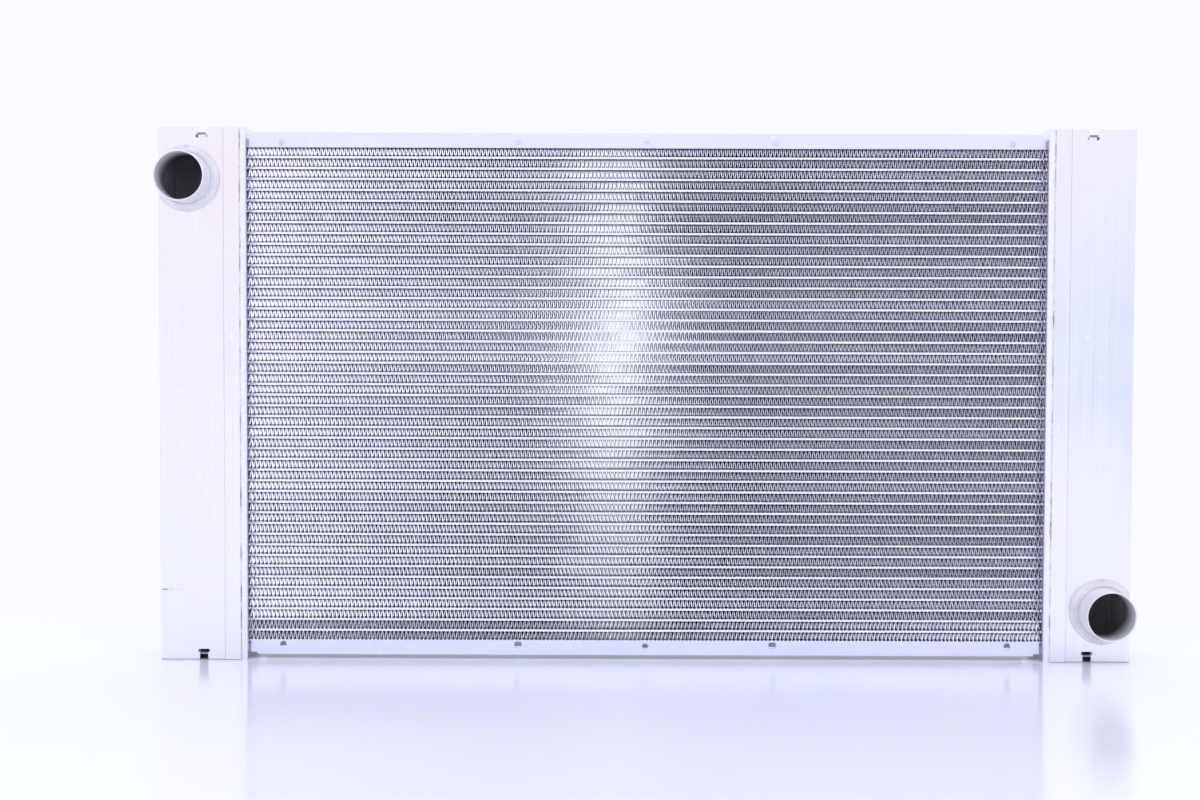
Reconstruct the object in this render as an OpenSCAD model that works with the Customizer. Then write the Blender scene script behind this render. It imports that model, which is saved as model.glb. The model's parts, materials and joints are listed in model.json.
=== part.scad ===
// Brazed aluminium oil cooler: a core of flat tubes and corrugated fins between two
// headers, each closed by a folded tank, with a plain hose spigot on the front of each tank.
// X runs across the core, Y from front (-) to back (+), Z up.
// The origin is at the bottom centre of the whole object's box, on the surface that the
// tanks stand on. Pieces are drawn about the core's middle plane and then moved back by core_y.

/* [Core] */
// Clear width between the two headers
core_w = 610; // [600:2:800]
// Depth of the tubes and fins, front to back
core_d = 36; // [30:1:40]
// Height of one fin strip
fin_h = 6.45; // [5:0.05:9]
// Thickness of one flat tube
tube_t = 1.8; // [1.6:0.1:2.6]
// Banks of five tubes, stacked up the core
tube_banks = 9; // [7:2:9]
// Waves drawn along one fin strip
fin_waves = 34; // [20:1:40]
// Metal thickness of a fin strip as drawn
fin_t = 0.4; // [0.1:0.05:0.5]

/* [Tanks] */
// Width of header and tank together, from the core to the outer side
tank_w = 67; // [66:1:90]
// Depth of the tank's flat body
tank_d = 50; // [48:1:60]
// Height of the tank beyond the core at each end
tank_over = 14.5; // [14:0.5:25]
// Sheet thickness of tank and header
sheet_t = 2; // [1.5:0.1:2]
// Outer radius of the folded corners
fold_r = 3; // [2.5:0.5:4]
// How far the tank's edge stands out where it laps the header
lap_step = 1.5; // [1:0.1:1.5]
// Width of that lap
lap_w = 12; // [10:1:13]
// Width of the header's lip left bare beside the core
lip_w = 5; // [4:0.5:6]

/* [Spigots] */
// Outside radius of a spigot
spigot_r = 19; // [14:0.5:19]
// Wall of a spigot
spigot_t = 1.2; // [1:0.1:3]
// How far a spigot stands out from the tank's face
spigot_l = 25; // [15:1:60]
// Distance of a spigot's axis from the tank's outer side
spigot_in = 22; // [22:0.5:24]
// Distance of a spigot's axis from the tank's end
spigot_end = 39; // [36:1:80]
// Outer radius of the weld collar at a spigot's root
collar_r = 25; // [23:0.5:26]

/* [Side plates] */
// Height of a side plate's flanges
flange_h = 11.3; // [9:0.1:13]
// Sheet thickness of a side plate
plate_t = 1.2; // [1:0.1:1.5]
// Radius of the round fixing holes
fix_r = 2.5; // [2:0.1:2.5]
// Distance of the round fixing holes from the middle
fix_x = 279; // [150:0.5:280]
// Distance of the square holes from the middle
square_x = 98; // [50:1:140]

/* [Hidden] */
$fn = 96;
eps = 0.01;
alloy = [0.87, 0.88, 0.92];
bright_alloy = [0.93, 0.94, 0.96];
weld_alloy = [0.78, 0.79, 0.82];

// Stack of tubes and fins
tubes_per_bank = 5;
strips_per_bank = 2;
tube_count = tube_banks * tubes_per_bank;
strip_count = tube_count + 1;
fin_banks = strip_count / strips_per_bank;
row_pitch = fin_h + tube_t;
core_h = strip_count * fin_h + tube_count * tube_t;
tank_h = core_h + 2 * tank_over;

// Flat tubes and the corrugated strips inside them
tube_wall = 0.35;
tube_past_header = 3;
tube_l = core_w + 2 * (sheet_t + tube_past_header);
inner_h = tube_t - 2 * tube_wall;
turbulator_t = 0.15;
turbulator_waves = 10;
turbulator_w = core_d - 2 * tube_t;

// Places across the right-hand tank, measured from the middle of the core
header_x = core_w / 2;
lap_x = header_x + lip_w;
body_x = lap_x + lap_w;
side_x = header_x + tank_w;
joint_overlap = 1.3;
flange_gap = 0.5;
header_flange_w = lip_w + lap_w - joint_overlap - flange_gap - sheet_t;
lap_d = tank_d + 2 * lap_step;
header_d = lap_d - 2 * sheet_t;
tank_in_d = tank_d - 2 * sheet_t;
header_in_d = header_d - 2 * sheet_t;

// End caps and the notches that hold their lugs
cap_floor_t = 1.5;
cap_floor_in = 10;
cap_rim_in = 4.2;
cap_skirt_t = 1.2;
lug_t = 1.2;
notch_w = 6.4;
notch_h = 8.2;
notch_relief_r = 1.3;
notch_x = (header_x + sheet_t + side_x - sheet_t) / 2;

// Spigots, their collars and the two places they stand
spigot_x = side_x - spigot_in;
tank_face_y = -tank_d / 2;
collar_h = 4.5;
collar_edge_h = 0.8;
collar_neck_r = spigot_r + 2.2;
nub_r = 1.2;
nub_h = 1.6;
root_r = spigot_r + 0.6;
inlet_z = tank_h - spigot_end;
outlet_z = spigot_end;
core_y = (spigot_l + tank_d / 2 - lap_d / 2) / 2;

// Side plates
web_relief = 1.2;
edge_relief_w = 6;
edge_relief_h = 1.6;
hole_from_core = 3.7;
square_w = 5.6;
square_h = 4.8;
square_corner_r = 1.4;
half_moon_r = 2.6;
half_moon_from_core = 5;
flap_t = 0.7;
flap_droop = 25;

BANKS = [for (i = [1:tube_banks]) i];
FIN_BANKS = [for (i = [1:fin_banks]) i];

// Moves a piece from the core's own middle plane to its place in the frame
module placed() {
  translate([0, core_y, 0]) children();
}

// Height of the middle of a flat tube, counted from the bottom
function tube_z(n) = tank_over + fin_h + tube_t / 2 + n * row_pitch;

// Height of the underside of a fin strip, counted from the bottom
function strip_z(n) = tank_over + n * row_pitch;

// A square whose corners at its high-X end are round
module round_end_square(x0, x1, depth, r) {
  translate([x0, -depth / 2]) square([x1 - x0 - r, depth]);
  translate([x0, -depth / 2 + r]) square([x1 - x0, depth - 2 * r]);
  for (side = [-1, 1]) {
    translate([x1 - r, side * (depth / 2 - r)]) circle(r);
  }
}

// A flat oval, as a tube's section across its depth
module flat_oval(width, height) {
  square([width - height, height], center = true);
  for (side = [-1, 1]) {
    translate([side * (width - height) / 2, 0]) circle(height / 2);
  }
}

// Flat oval bar along X, centred on the row of tube n
module oval_bar(n, length, width, height) {
  translate([-length / 2, 0, tube_z(n)]) {
    rotate([90, 0, 90]) linear_extrude(length) flat_oval(width, height);
  }
}

// Zigzag band: a wave of straight legs with a constant upright thickness
module zigzag(length, height, t, waves) {
  step = length / waves / 2;
  low = [for (i = [0:2 * waves]) [i * step, i % 2 == 0 ? 0 : height - t]];
  high = [for (i = [2 * waves:-1:0]) low[i] + [0, t]];
  polygon(concat(low, high));
}

// Round bar along Y, from y0 to y1
module bar_y(x, z, r, y0, y1) {
  translate([x, y1, z]) rotate([90, 0, 0]) cylinder(r = r, h = y1 - y0);
}

// Tank: the lap stands out over the header's flanges, the body is a plain folded channel
module tank_section() {
  difference() {
    union() {
      round_end_square(body_x - joint_overlap, side_x, tank_d, fold_r);
      translate([lap_x, -lap_d / 2]) square([lap_w + eps, lap_d]);
    }
    round_end_square(body_x - joint_overlap - 1, side_x - sheet_t, tank_in_d, fold_r - sheet_t);
    translate([lap_x - 1, -header_d / 2]) square([lap_w + 1 - joint_overlap, header_d]);
  }
}

// Notch in the tank's front and back walls, open at the tank's end, with round reliefs
module end_notch() {
  translate([notch_x - notch_w / 2, -tank_d, -1]) cube([notch_w, 2 * tank_d, notch_h + 1]);
  for (side = [-1, 1]) {
    bar_y(notch_x + side * notch_w / 2, notch_h - notch_relief_r, notch_relief_r, -tank_d, tank_d);
  }
}

module tank_shell(spigot_z) {
  difference() {
    linear_extrude(tank_h) tank_section();
    end_notch();
    translate([0, 0, tank_h]) mirror([0, 0, 1]) end_notch();
    bar_y(spigot_x, spigot_z, root_r, -tank_d, tank_face_y + sheet_t + 0.5);
  }
}

// Header: a shallow tray whose floor has a slot for every tube
module header_tray() {
  difference() {
    linear_extrude(tank_h) mirror([1, 0]) difference() {
      round_end_square(-header_x - sheet_t - header_flange_w, -header_x, header_d, fold_r);
      round_end_square(
        -header_x - sheet_t - header_flange_w - 1, -header_x - sheet_t, header_in_d, fold_r - sheet_t
      );
    }
    for (n = [0:tube_count - 1]) {
      oval_bar(n, 2 * (header_x + sheet_t + 1), core_d, tube_t);
    }
  }
}

// Outline of an end cap, which fills the tank and the header's tray
module cap_outline(inset) {
  translate([header_x + sheet_t + inset, -header_in_d / 2 + inset]) {
    square([lip_w + lap_w - sheet_t - inset, header_in_d - 2 * inset]);
  }
  round_end_square(
    body_x - joint_overlap - eps, side_x - sheet_t - inset, tank_in_d - 2 * inset, fold_r - sheet_t
  );
}

// End cap: a drawn tray, its rim outwards, with a lug through each notch
module bottom_cap() {
  lug_z = cap_rim_in;
  difference() {
    translate([0, 0, cap_rim_in]) {
      linear_extrude(cap_floor_in - cap_rim_in) cap_outline(0);
    }
    translate([0, 0, cap_rim_in - 1]) {
      linear_extrude(cap_floor_in - cap_rim_in + 1 - cap_floor_t) cap_outline(cap_skirt_t);
    }
    translate([notch_x - notch_w / 2, -tank_d, cap_rim_in - 1]) {
      cube([notch_w, 2 * tank_d, cap_floor_in - cap_rim_in + 1 - cap_floor_t]);
    }
  }
  for (side = [-1, 1]) {
    lug_y = side * (tank_d / 2 - 2 * sheet_t);
    translate([notch_x - notch_w / 2, min(lug_y, lug_y + side * 2 * sheet_t), lug_z]) {
      cube([notch_w, 2 * sheet_t, lug_t]);
    }
    translate([notch_x - notch_w / 2 - 1, side * (tank_in_d / 2 - cap_skirt_t / 2) - cap_skirt_t / 2, lug_z]) {
      cube([notch_w + 2, cap_skirt_t, lug_t]);
    }
  }
}

module top_cap() {
  translate([0, 0, tank_h]) mirror([0, 0, 1]) bottom_cap();
}

// Thin-walled hose spigot, its thicker root set through the tank's front wall
module spigot(z) {
  root_l = sheet_t + 0.5 + collar_h;
  free_l = spigot_l - collar_h;
  bore_r = spigot_r - spigot_t;
  translate([spigot_x, tank_face_y + sheet_t + 0.5, z]) rotate([90, 0, 0]) {
    rotate_extrude() {
      translate([bore_r, 0]) square([root_r - bore_r, root_l]);
      translate([bore_r, 0]) square([spigot_t, root_l + free_l]);
    }
  }
}

// Collar: a ring with a hollow flank, a neck, and a small nub at top and bottom.
// It is cut off flush where it reaches the tank's folded outer corner.
module collar(z) {
  flank_r = collar_r - collar_neck_r;
  flank_top = min(collar_edge_h + flank_r, collar_h - 0.4);
  intersection() {
    translate([spigot_x, tank_face_y, z]) rotate([90, 0, 0]) {
      rotate_extrude() difference() {
        translate([root_r, 0]) square([collar_r - root_r, collar_h]);
        translate([collar_r, collar_edge_h + flank_r]) circle(flank_r);
        translate([collar_neck_r, flank_top]) square([collar_r, collar_h]);
      }
      for (side = [-1, 1]) {
        translate([0, side * (collar_r - 0.4), 0]) cylinder(r = nub_r, h = nub_h);
      }
    }
    translate([0, -tank_d, 0]) cube([side_x - fold_r + 1, tank_d, tank_h]);
  }
}

// Holes through both flanges of a side plate
module plate_holes() {
  for (side = [-1, 1]) {
    bar_y(side * fix_x, hole_from_core, fix_r, -core_d, core_d);
    translate([side * square_x, core_d, hole_from_core]) rotate([90, 0, 0]) {
      linear_extrude(2 * core_d) {
        square([square_w, square_h - 2 * square_corner_r], center = true);
        square([square_w - 2 * square_corner_r, square_h], center = true);
        for (u = [-1, 1], v = [-1, 1]) {
          translate([u * (square_w / 2 - square_corner_r), v * (square_h / 2 - square_corner_r)]) {
            circle(square_corner_r);
          }
        }
      }
    }
  }
  intersection() {
    bar_y(0, half_moon_from_core, half_moon_r, -core_d, core_d);
    translate([-half_moon_r, -core_d, half_moon_from_core - half_moon_r]) {
      cube([2 * half_moon_r, 2 * core_d, half_moon_r]);
    }
  }
}

// Half-round flap, pushed out of the flange below the half-moon hole
module flange_flap() {
  translate([0, -core_d / 2 + flap_t, half_moon_from_core - eps]) rotate([-flap_droop, 0, 0]) {
    translate([0, 0, -flap_t / 2]) intersection() {
      cylinder(r = half_moon_r - 0.3, h = flap_t);
      translate([-half_moon_r, -half_moon_r, -1]) cube([2 * half_moon_r, half_moon_r, flap_t + 2]);
    }
  }
}

// Side plate: a channel whose web lies on the last fin strip, its flanges away from the core
module side_plate() {
  difference() {
    translate([-header_x, -core_d / 2, 0]) cube([core_w, core_d, flange_h]);
    translate([-header_x - 1, -core_d / 2 + plate_t, plate_t]) {
      cube([core_w + 2, core_d - 2 * plate_t, flange_h]);
    }
    for (side = [-1, 1]) {
      translate([side * header_x - web_relief, -core_d, plate_t]) {
        cube([2 * web_relief, 2 * core_d, flange_h]);
      }
      translate([side * header_x - edge_relief_w, -core_d, flange_h - edge_relief_h]) {
        cube([2 * edge_relief_w, 2 * core_d, flange_h]);
      }
    }
    plate_holes();
  }
  for (turn = [0, 180]) {
    rotate([0, 0, turn]) flange_flap();
  }
}

module left_tank() {
  color(alloy) placed() mirror([1, 0, 0]) tank_shell(inlet_z);
}

module right_tank() {
  color(alloy) placed() tank_shell(outlet_z);
}

module left_header() {
  color(bright_alloy) placed() mirror([1, 0, 0]) header_tray();
}

module right_header() {
  color(bright_alloy) placed() header_tray();
}

module left_top_cap() {
  color(alloy) placed() mirror([1, 0, 0]) top_cap();
}

module left_bottom_cap() {
  color(alloy) placed() mirror([1, 0, 0]) bottom_cap();
}

module right_top_cap() {
  color(alloy) placed() top_cap();
}

module right_bottom_cap() {
  color(alloy) placed() bottom_cap();
}

module inlet_spigot() {
  color(bright_alloy) placed() mirror([1, 0, 0]) spigot(inlet_z);
}

module outlet_spigot() {
  color(bright_alloy) placed() spigot(outlet_z);
}

module inlet_collar() {
  color(weld_alloy) placed() mirror([1, 0, 0]) collar(inlet_z);
}

module outlet_collar() {
  color(weld_alloy) placed() collar(outlet_z);
}

module top_side_plate() {
  color(alloy) placed() translate([0, 0, tank_over + core_h]) side_plate();
}

module bottom_side_plate() {
  color(alloy) placed() translate([0, 0, tank_over]) mirror([0, 0, 1]) side_plate();
}

// Five flat tubes, each a hollow oval that runs through both headers
module tube_bank(bank) {
  first = (bank - 1) * tubes_per_bank;
  color(bright_alloy) placed() for (n = [first:first + tubes_per_bank - 1]) {
    difference() {
      oval_bar(n, tube_l, core_d, tube_t);
      oval_bar(n, tube_l + 2, core_d - 2 * tube_wall, inner_h);
    }
  }
}

// Five corrugated strips, one inside each flat tube, that break up the oil's flow
module turbulator_bank(bank) {
  first = (bank - 1) * tubes_per_bank;
  color(weld_alloy) placed() for (n = [first:first + tubes_per_bank - 1]) {
    translate([-core_w / 2, -turbulator_w / 2, tube_z(n) - inner_h / 2]) rotate([90, 0, 90]) {
      linear_extrude(core_w) zigzag(turbulator_w, inner_h, turbulator_t, turbulator_waves);
    }
  }
}

// Two corrugated fin strips, one above the other with a tube between them
module fin_bank(bank) {
  first = (bank - 1) * strips_per_bank;
  color(alloy) placed() for (n = [first:first + strips_per_bank - 1]) {
    translate([-core_w / 2, core_d / 2, strip_z(n)]) rotate([90, 0, 0]) {
      linear_extrude(core_d) zigzag(core_w, fin_h, fin_t, fin_waves);
    }
  }
}

left_tank();
right_tank();
left_header();
right_header();
left_top_cap();
left_bottom_cap();
right_top_cap();
right_bottom_cap();
inlet_spigot();
outlet_spigot();
inlet_collar();
outlet_collar();
top_side_plate();
bottom_side_plate();
for (i = BANKS) {
  tube_bank(i);
  turbulator_bank(i);
}
for (i = FIN_BANKS) {
  fin_bank(i);
}
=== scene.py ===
import json
import math

import bmesh
import bpy
import numpy as np
from bpy.props import FloatProperty, FloatVectorProperty, IntProperty, PointerProperty
from mathutils import Euler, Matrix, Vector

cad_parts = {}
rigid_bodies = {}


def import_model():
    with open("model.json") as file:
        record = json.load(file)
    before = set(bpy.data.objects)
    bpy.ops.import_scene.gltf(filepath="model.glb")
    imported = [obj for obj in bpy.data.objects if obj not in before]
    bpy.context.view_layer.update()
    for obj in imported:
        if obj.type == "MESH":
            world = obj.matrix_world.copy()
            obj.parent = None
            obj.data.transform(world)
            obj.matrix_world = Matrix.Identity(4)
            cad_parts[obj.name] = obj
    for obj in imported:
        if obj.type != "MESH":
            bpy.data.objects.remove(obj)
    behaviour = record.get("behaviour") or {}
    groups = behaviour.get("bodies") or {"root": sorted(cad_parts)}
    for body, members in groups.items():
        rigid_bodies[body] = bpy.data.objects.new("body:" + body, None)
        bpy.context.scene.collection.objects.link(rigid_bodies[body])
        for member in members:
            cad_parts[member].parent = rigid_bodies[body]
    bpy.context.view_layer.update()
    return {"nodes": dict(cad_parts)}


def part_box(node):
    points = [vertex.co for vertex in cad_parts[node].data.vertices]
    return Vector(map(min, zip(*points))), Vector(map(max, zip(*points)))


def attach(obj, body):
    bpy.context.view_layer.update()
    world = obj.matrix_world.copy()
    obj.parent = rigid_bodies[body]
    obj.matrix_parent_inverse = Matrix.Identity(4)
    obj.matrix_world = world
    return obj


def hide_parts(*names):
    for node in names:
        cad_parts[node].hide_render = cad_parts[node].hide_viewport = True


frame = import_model()

bl_info = {
    "name": "Brazed Oil Cooler",
    "version": (1, 0, 0),
    "blender": (4, 5, 0),
    "location": "3D View > Sidebar > Oil Cooler",
    "description": "Builds the fins, tubes, spigots and braze of an aluminium oil cooler around its frame",
    "category": "Add Mesh",
}

MM = 0.001
TUBES_PER_BANK = 5
STRIPS_PER_BANK = 2
REVERSED_STRIPS = 2  # the lowest strips were laid in turned round, so their louvres lean the other way


def banks(prefix):
    """The CAD nodes of one kind of bank, from the lowest to the highest."""
    names = [name for name in frame["nodes"] if name.startswith(prefix)]
    return sorted(names, key=lambda name: int(name[len(prefix):]))


TUBE_BANKS = banks("tube_bank_")
FIN_BANKS = banks("fin_bank_")
TURBULATORS = banks("turbulator_bank_")


def linear(code):
    """An sRGB hex colour as linear red, green and blue."""
    parts = [int(code[i : i + 2], 16) / 255 for i in (1, 3, 5)]
    return tuple(c / 12.92 if c <= 0.04045 else ((c + 0.055) / 1.055) ** 2.4 for c in parts)


# ---------------------------------------------------------------- measures taken from the frame


def core_measures():
    """The core's box, the height of a fin strip and the thickness of a tube.

    A fin bank is two strips and the tube between them high, and a tube bank five tubes and the four strips
    between them, which gives both heights."""
    fin_low, fin_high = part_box(FIN_BANKS[0])
    tube_low, tube_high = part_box(TUBE_BANKS[0])
    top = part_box(FIN_BANKS[-1])[1].z
    fin_bank_h = fin_high.z - fin_low.z
    tube_bank_h = tube_high.z - tube_low.z
    spare_strips = STRIPS_PER_BANK * TUBES_PER_BANK - (TUBES_PER_BANK - 1)
    strip = (TUBES_PER_BANK * fin_bank_h - tube_bank_h) / spare_strips
    tube = fin_bank_h - STRIPS_PER_BANK * strip
    return {
        "x0": fin_low.x, "x1": fin_high.x,
        "y0": fin_low.y, "y1": fin_high.y,
        "z0": fin_low.z, "z1": top,
        "strip": strip, "tube": tube, "pitch": strip + tube,
        "tube_x0": tube_low.x, "tube_x1": tube_high.x,
    }


CORE = core_measures()


# ---------------------------------------------------------------- sizes and colours a user may change


class CoreSettings(bpy.types.PropertyGroup):
    """Shape of the fin strips and flat tubes."""

    waves: IntProperty(
        name="Fin waves", description="Whole waves along one fin strip", default=200, min=40, max=260,
    )
    louvres: IntProperty(
        name="Louvres in a bank",
        description="Louvres in the front half of a fin leg, and again in the back half",
        default=7, min=3, max=12,
    )
    louvre_angle: FloatProperty(
        name="Louvre angle", description="Turn of a louvre out of its leg",
        default=math.radians(16), subtype="ANGLE",
    )
    skew: FloatProperty(
        name="Fin skew", description="Most that a fold turns from square to the core",
        default=math.radians(1.3), subtype="ANGLE",
    )
    crest_rise: FloatProperty(
        name="Crest rise", description="Height of the rounded crest of a wave",
        default=0.45 * MM, unit="LENGTH",
    )
    crest_half: FloatProperty(
        name="Crest half width", description="Half the width of a crest", default=0.36 * MM, unit="LENGTH",
    )
    louvre_margin: FloatProperty(
        name="Louvre margin", description="Plain foil between a crest and the louvres' ends",
        default=0.6 * MM, unit="LENGTH",
    )
    set_back: FloatProperty(
        name="Set back", description="Most that a strip lies behind the core's front",
        default=0.3 * MM, unit="LENGTH",
    )
    rim: FloatProperty(
        name="Plain rim", description="Foil left plain before, between and after the louvre banks",
        default=1.3 * MM, unit="LENGTH",
    )
    wander: FloatProperty(
        name="Wave wander", description="How far the waves drift from an even pitch",
        default=0.35 * MM, unit="LENGTH",
    )
    tube_wall: FloatProperty(
        name="Tube wall", description="Wall of a flat tube", default=0.35 * MM, unit="LENGTH",
    )


class JointSettings(bpy.types.PropertyGroup):
    """Size of the braze beads."""

    seam: FloatProperty(
        name="Seam bead", description="Radius of the braze bead along the tank's lapped edge",
        default=0.55 * MM, unit="LENGTH",
    )
    fillet: FloatProperty(
        name="Tube fillet", description="Radius of the fillet round a tube where it enters its header",
        default=0.7 * MM, unit="LENGTH",
    )


class SpigotSettings(bpy.types.PropertyGroup):
    """Shape of the spigots and their collars."""

    wall: FloatProperty(
        name="Wall", description="Wall of the spigot's free end", default=1.2 * MM, unit="LENGTH",
    )
    lip: FloatProperty(
        name="Lip", description="Rounding of the spigot's mouth", default=0.45 * MM, unit="LENGTH",
    )
    around: IntProperty(
        name="Steps round", description="Steps round a spigot", default=128, min=32, max=256,
    )


class FinishSettings(bpy.types.PropertyGroup):
    """Base colours of the metals."""

    tank: FloatVectorProperty(
        name="Tank sheet", description="Colour of the tanks' rolled sheet",
        default=linear("#F5F4FA"), subtype="COLOR",
    )
    braze: FloatVectorProperty(
        name="Brazed face", description="Colour of the clad headers and tubes",
        default=linear("#FAFAFF"), subtype="COLOR",
    )
    plate: FloatVectorProperty(
        name="Side plate", description="Colour of the side plates",
        default=linear("#EDF0FF"), subtype="COLOR",
    )
    foil: FloatVectorProperty(
        name="Fin foil", description="Colour of the fin strips", default=linear("#EAEAF9"), subtype="COLOR",
    )
    spigot: FloatVectorProperty(
        name="Spigot", description="Colour of the spigots and collars",
        default=linear("#F3F2F5"), subtype="COLOR",
    )
    floor: FloatVectorProperty(
        name="Floor", description="Colour of the studio floor", default=linear("#F7F9FF"), subtype="COLOR",
    )


class StageSettings(bpy.types.PropertyGroup):
    """Light and camera."""

    lens: FloatProperty(
        name="Lens", description="Focal length on a 36 mm sensor", default=50.0, min=20.0, max=120.0,
    )
    key: FloatProperty(
        name="Key light", description="Power of the softbox", default=580.0, unit="POWER",
    )
    front: FloatProperty(
        name="Front share", description="How bright the room is in front, next to behind",
        default=1.05, min=0.0, max=1.5,
    )
    sky: FloatProperty(
        name="Room light", description="Strength of the white room", default=1.0, min=0.0, max=4.0,
    )


class CoolerSettings(bpy.types.PropertyGroup):
    """All settings of the oil cooler."""

    core: PointerProperty(type=CoreSettings)
    joints: PointerProperty(type=JointSettings)
    spigots: PointerProperty(type=SpigotSettings)
    finish: PointerProperty(type=FinishSettings)
    stage: PointerProperty(type=StageSettings)


# ---------------------------------------------------------------- meshes


def grid_cells(rows, columns, round_rows=False, round_columns=False):
    """Corner numbers of every cell of a rows by columns grid of points, joined end to end where asked."""
    r = np.arange(rows if round_rows else rows - 1)[:, None]
    c = np.arange(columns if round_columns else columns - 1)[None, :]
    r2, c2 = (r + 1) % rows, (c + 1) % columns
    cells = np.stack([r * columns + c, r * columns + c2, r2 * columns + c2, r2 * columns + c], axis=-1)
    return cells.reshape(-1, 4)


def mesh_piece(name, points, cells, material, smooth=True):
    """A piece from points in metres and four-cornered cells. smooth is one value or one for each cell."""
    points = np.asarray(points, np.float32).reshape(-1, 3)
    cells = np.asarray(cells, np.int32).reshape(-1, 4)
    mesh = bpy.data.meshes.new(name)
    mesh.vertices.add(len(points))
    mesh.vertices.foreach_set("co", points.ravel())
    mesh.loops.add(cells.size)
    mesh.loops.foreach_set("vertex_index", cells.ravel())
    mesh.polygons.add(len(cells))
    mesh.polygons.foreach_set("loop_start", np.arange(len(cells), dtype=np.int32) * 4)
    mesh.polygons.foreach_set("use_smooth", np.broadcast_to(np.asarray(smooth, bool), len(cells)))
    mesh.update(calc_edges=True)
    mesh.validate()
    mesh.materials.append(material)
    piece = bpy.data.objects.new(name, mesh)
    bpy.context.scene.collection.objects.link(piece)
    return piece


def stack_parts(parts):
    """Several (points, cells) pairs as one pair."""
    points, cells, count = [], [], 0
    for part_points, part_cells in parts:
        part_points = np.asarray(part_points, float).reshape(-1, 3)
        points.append(part_points)
        cells.append(np.asarray(part_cells).reshape(-1, 4) + count)
        count += len(part_points)
    return np.concatenate(points), np.concatenate(cells)


def soft_noise(rng, count, knots):
    """Smooth random values from -1 to 1: random knots, eased from one to the next."""
    heights = rng.uniform(-1, 1, knots + 1)
    place = np.linspace(0, knots, count, endpoint=False)
    left = place.astype(int)
    share = place - left
    ease = share * share * (3 - 2 * share)
    return heights[left] * (1 - ease) + heights[left + 1] * ease


def wave_outline(rng, core, settings, low):
    """The fin wave's outline in X and Z: for each leg its foot, the ends of its louvres, its head, and two
    points over the crest that follows.

    Crests stand half a wave apart, and each crest's place drifts by soft noise. A leg runs straight from
    crest to crest. A crest is the upper or lower half of an ellipse, with its two inner points at 60 and 120
    degrees round it."""
    drifts, jitter = 46, 0.08
    cos_60, sin_60 = 0.5, 0.87
    legs = 2 * settings.waves
    crest_x = np.linspace(core["x0"], core["x1"], legs + 1)
    drift = settings.wander * soft_noise(rng, legs + 1, drifts)
    drift += settings.wander * jitter * rng.normal(size=legs + 1)
    crest_x[1:-1] += drift[1:-1]
    half, rise = settings.crest_half, settings.crest_rise
    start, end = crest_x[:-1], crest_x[1:]
    up = np.where(np.arange(legs) % 2 == 0, 1.0, -1.0)
    reach = core["strip"] / 2 - rise
    margin = settings.louvre_margin / (2 * reach)
    share = np.array([0, margin, 1 - margin, 1])
    leg_x = (start + half)[:, None] * (1 - share) + (end - half)[:, None] * share
    leg_z = up[:, None] * reach * (2 * share - 1)
    top_z = up * (reach + rise * sin_60)
    x = np.column_stack([leg_x, end - half * cos_60, end + half * cos_60])
    z = np.column_stack([leg_z, top_z, top_z])
    return x, low + core["strip"] / 2 + z


def foil_faces(corner_ends, corner_depths):
    """One four-cornered face for each leg, from the X and Z of its four corners and their depths along Y."""
    corners = np.empty((len(corner_ends[0]), 4, 3))
    for i, (end, depth) in enumerate(zip(corner_ends, corner_depths)):
        corners[:, i, 0] = end[:, 0]
        corners[:, i, 1] = depth
        corners[:, i, 2] = end[:, 1]
    return corners


def foil_wall(first, second, front, back):
    """Faces from one outline point to another, between two depths, for every leg."""
    return foil_faces((first, second, second, first), (front, front, back, back))


def louvre_slats(settings, start, end, turn, bank, sign):
    """The slats of one louvre bank, for every leg. start and end are where a leg's louvres begin and end.

    Slats follow each other in equal steps of depth. Each is a step wide and turned about its middle, so its
    edges stand out of the leg by half a step times the sine of the turn."""
    bank_front, bank_back = bank
    along = end - start
    along /= np.linalg.norm(along, axis=1, keepdims=True)
    across = np.stack([along[:, 1], -along[:, 0]], axis=1) * np.sign(along[:, 1:2])
    step = (bank_back - bank_front) / settings.louvres
    out = (sign * np.sin(turn) * step / 2)[:, None] * across
    deep = np.cos(turn) * step / 2
    slats = []
    for i in range(settings.louvres):
        centre = bank_front + (i + 0.5) * step
        front, back = centre - deep, centre + deep
        ends = (start - out, end - out, end + out, start + out)
        slats.append(foil_faces(ends, (front, front, back, back)))
    return slats


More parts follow.
